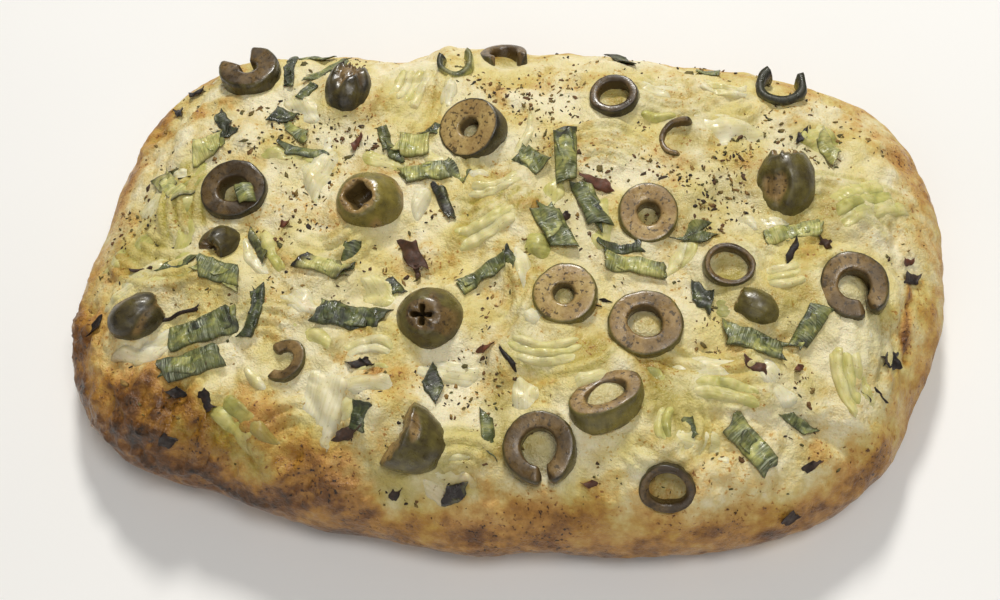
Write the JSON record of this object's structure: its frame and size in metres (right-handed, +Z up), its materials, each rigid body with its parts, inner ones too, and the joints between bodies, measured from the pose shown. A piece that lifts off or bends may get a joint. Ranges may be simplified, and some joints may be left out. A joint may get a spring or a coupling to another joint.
{
  "type": "onion focaccia",
  "caption": "Oblong flat loaf with a domed, dimpled top and a browned edge, baked with sliced olives, spring onion, onion slices and herbs on top; a bread to eat as it is or with a meal.",
  "frame": {"origin": "middle of the flat base that the loaf rests on", "axes": "+X along the loaf's longer side, +Y along its shorter side, +Z up through the top"},
  "size_m": [0.2522, 0.1623, 0.0491],
  "materials": {
    "dough": "soft baked dough, matt with an oily bloom, browned at the edge",
    "olive": "oily olive skin with a duller cut face",
    "spring_onion": "soft baked leaf, fine ribs, slightly oily",
    "onion": "moist, ribbed, pale and slightly see-through",
    "herbs": "dry flakes"
  },
  "bodies": {
    "root": {"loaf": "dough", "olive_ring_01": "olive", "olive_ring_02": "olive", "olive_ring_03": "olive", "olive_ring_04": "olive", "olive_ring_05": "olive", "olive_ring_06": "olive", "olive_ring_07": "olive", "olive_ring_08": "olive", "olive_ring_09": "olive", "olive_ring_10": "olive", "olive_ring_11": "olive", "olive_ring_12": "olive", "olive_ring_13": "olive", "olive_ring_14": "olive", "olive_ring_15": "olive", "olive_01": "olive", "olive_02": "olive", "olive_03": "olive", "olive_04": "olive", "olive_05": "olive", "olive_06": "olive", "olive_07": "olive", "olive_08": "olive", "spring_onion_01": "spring_onion", "spring_onion_02": "spring_onion", "spring_onion_03": "spring_onion", "spring_onion_04": "spring_onion", "spring_onion_05": "spring_onion", "spring_onion_06": "spring_onion", "spring_onion_07": "spring_onion", "spring_onion_08": "spring_onion", "spring_onion_09": "spring_onion", "spring_onion_10": "spring_onion", "spring_onion_11": "spring_onion", "spring_onion_12": "spring_onion", "spring_onion_13": "spring_onion", "spring_onion_14": "spring_onion", "spring_onion_15": "spring_onion", "spring_onion_16": "spring_onion", "spring_onion_17": "spring_onion", "spring_onion_18": "spring_onion", "spring_onion_19": "spring_onion", "spring_onion_20": "spring_onion", "spring_onion_21": "spring_onion", "spring_onion_ring_1": "spring_onion", "spring_onion_ring_2": "spring_onion", "onion_01": "onion", "onion_02": "onion", "onion_03": "onion", "onion_04": "onion", "onion_05": "onion", "onion_06": "onion", "onion_07": "onion", "onion_08": "onion", "onion_09": "onion", "onion_10": "onion", "onion_11": "onion", "onion_12": "onion", "onion_13": "onion"}
  },
  "joints": []
}
